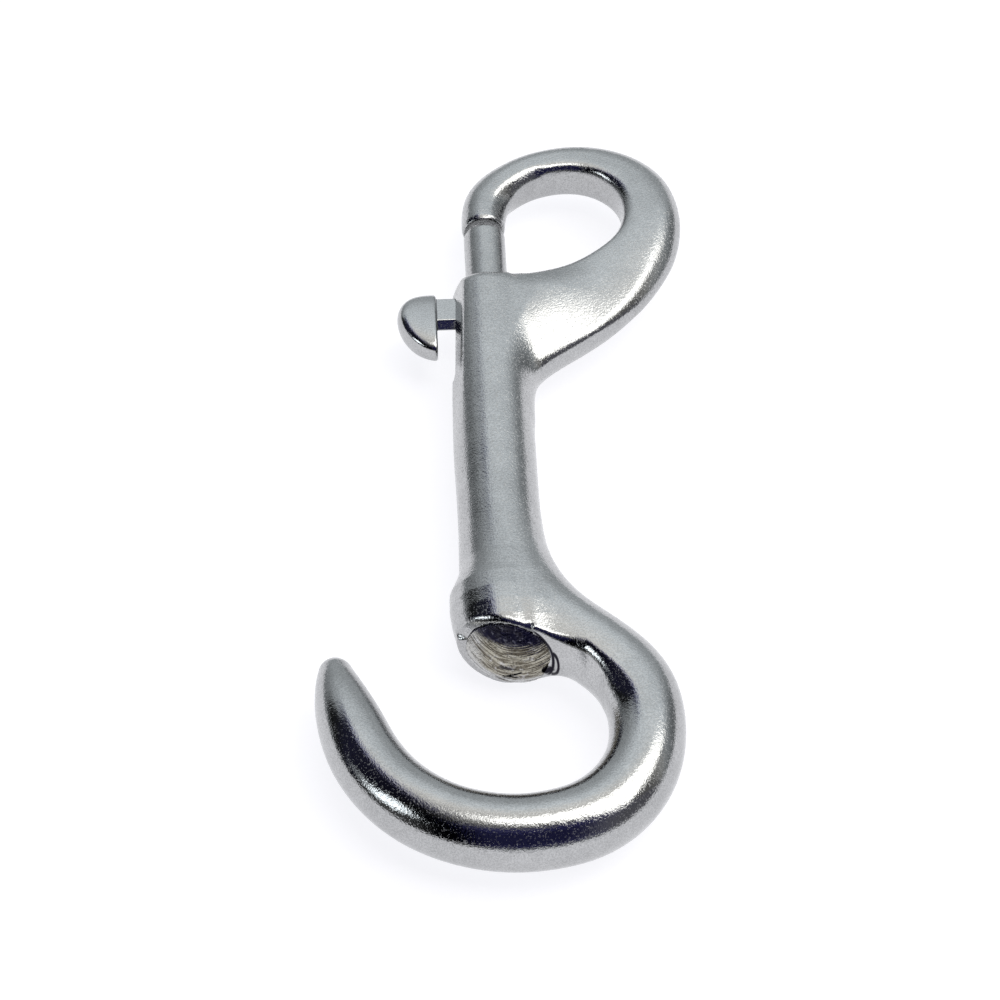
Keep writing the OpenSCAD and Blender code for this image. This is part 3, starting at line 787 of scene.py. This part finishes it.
def dot(c):
    v = n.math("ADD", n.math("MULTIPLY", dx, c[0]), n.math("MULTIPLY", dy, c[1]))
    return n.math("ADD", v, n.math("MULTIPLY", dz, c[2]))


def lit(v, tint=(1, 1, 1)):
    return tuple(v*c/4 for c in tint)


WARM, COOL, NAVY = (1.0, 0.985, 0.94), (0.94, 1.0, 1.03), (0.72, 0.72, 2.4)
# the sweep from the front wall over the ceiling to the back wall, by angle in degrees
sweep = ((-8, 0.9, COOL), (0, 0.55, COOL), (5, 0.2, WARM), (10, 0.06, NAVY), (14, 0.026, NAVY), (50, 0.026, NAVY), (60, 0.06, NAVY),
         (70, 0.22, WARM), (80, 0.42, WARM), (95, 0.6, WARM), (105, 1.05, WARM), (112, 1.18, WARM), (128, 1.12, COOL), (142, 0.87, COOL), (152, 0.62, COOL),
         (180, 0.52, COOL))
base = ramp_node(n.math("DIVIDE", n.math("ADD", theta, 20/180), 220/180), [((a+20)/220, lit(v, c)) for a, v, c in sweep])
# darker to the left, and on the right beyond the big light
edge = n.smooth(dx, -0.55, -0.85, 135/180, 165/180)
back = n.smooth(theta, n.math("SUBTRACT", edge, deg(7)), n.math("ADD", edge, deg(7)))
side = n.math("ADD", n.math("MULTIPLY", n.smooth(dx, -0.85, -0.15, 0.52, 1.0), back), n.math("MULTIPLY", n.smooth(dx, -0.46, -0.22, 0.02, 1.0), n.math("SUBTRACT", 1.0, back)))
side = n.math("MULTIPLY", side, n.smooth(dx, 0.55, 0.85, 1.0, 0.4))
mul = n("ShaderNodeVectorMath", operation="SCALE")
n.link(base, mul.inputs[0])
n.link(side, mul.inputs["Scale"])
front = n.math("MULTIPLY", n.smooth(dx, 0.35, 0.75, 0.0, 0.13), n.smooth(theta, deg(80), deg(60)))
front = n.math("ADD", front, n.math("MULTIPLY", n.smooth(dx, -0.6, -0.85, 0.0, 0.08), n.smooth(theta, deg(60), deg(30))))
grey = n("ShaderNodeVectorMath", operation="ADD")
n.link(mul.outputs[0], grey.inputs[0])
n.link(n.math("DIVIDE", front, 4.0), grey.inputs[1])
# the big soft light, up on the right: its long side runs towards the left and narrows
dc = n.math("MAXIMUM", dot((0.5, 0.045, 0.865)), 0.05)
u = n.math("DIVIDE", dot((0.866, -0.026, -0.5)), dc)
v = n.math("DIVIDE", dot((0.0, 0.9986, -0.052)), dc)
top = n.math("ADD", n.smooth(u, -1.0, -0.33, 0.05, 0.13), n.smooth(u, -0.38, 0.08, 0.0, 0.33))
low = n.smooth(u, -1.0, 0.2, -0.26, -0.40)
big = n.math("MULTIPLY", n.smooth(v, n.math("SUBTRACT", low, 0.03), n.math("ADD", low, 0.03)), n.smooth(v, n.math("ADD", top, 0.04), n.math("SUBTRACT", top, 0.04)))
big = n.math("MULTIPLY", big, n.math("MULTIPLY", n.smooth(u, 0.47, 0.39), n.smooth(u, -1.05, -0.55)))
shade = n.math("MULTIPLY", n.math("MULTIPLY", n.smooth(dx, -0.25, -0.5), n.smooth(theta, deg(70), deg(85))), n.smooth(theta, deg(138), deg(122)))
blue = n.mix(n.math("MULTIPLY", shade, 0.8), (1, 1, 1), (0.72, 0.72, 1.9))
tint = n("ShaderNodeVectorMath", operation="MULTIPLY")
n.link(grey.outputs[0], tint.inputs[0])
n.link(blue, tint.inputs[1])
one = n.mix(big, tint.outputs[0], lit(3.1, WARM))
# the small light, low on the left
small = n.math("MULTIPLY", between(dx, -0.945, -0.72, 0.03), between(theta, deg(42), deg(72), deg(4)))
dim = n.math("MULTIPLY", between(dx, -0.965, -0.91, 0.02), between(theta, deg(60), deg(100), deg(5)))
small = n.math("MAXIMUM", small, n.math("MULTIPLY", dim, 0.17))
two = n.mix(small, one, lit(3.0, COOL))
n.link(two, bg.inputs["Color"])
bg.inputs["Strength"].default_value = 4.0

sc = bpy.context.scene
sc.view_settings.view_transform = "Standard"

cam = bpy.data.cameras.new("camera")
cam.sensor_width, cam.lens = 36.0, 36*3.3533
cam.clip_start, cam.clip_end = 0.01, 20
co = bpy.data.objects.new("camera", cam)
sc.collection.objects.link(co)
el, az = math.radians(49.0), math.radians(-2.505)
back = Vector((math.sin(az)*math.cos(el), -math.cos(az)*math.cos(el), math.sin(el)))
side = Vector((math.cos(az), math.sin(az), 0))
up = back.cross(side)
at = (Vector((0.077, -7.617, 0))+Vector(ORIGIN))/1000+back*0.380
m4 = Matrix((side, up, back)).transposed().to_4x4()
m4.translation = at
co.matrix_world = m4
sc.camera = co
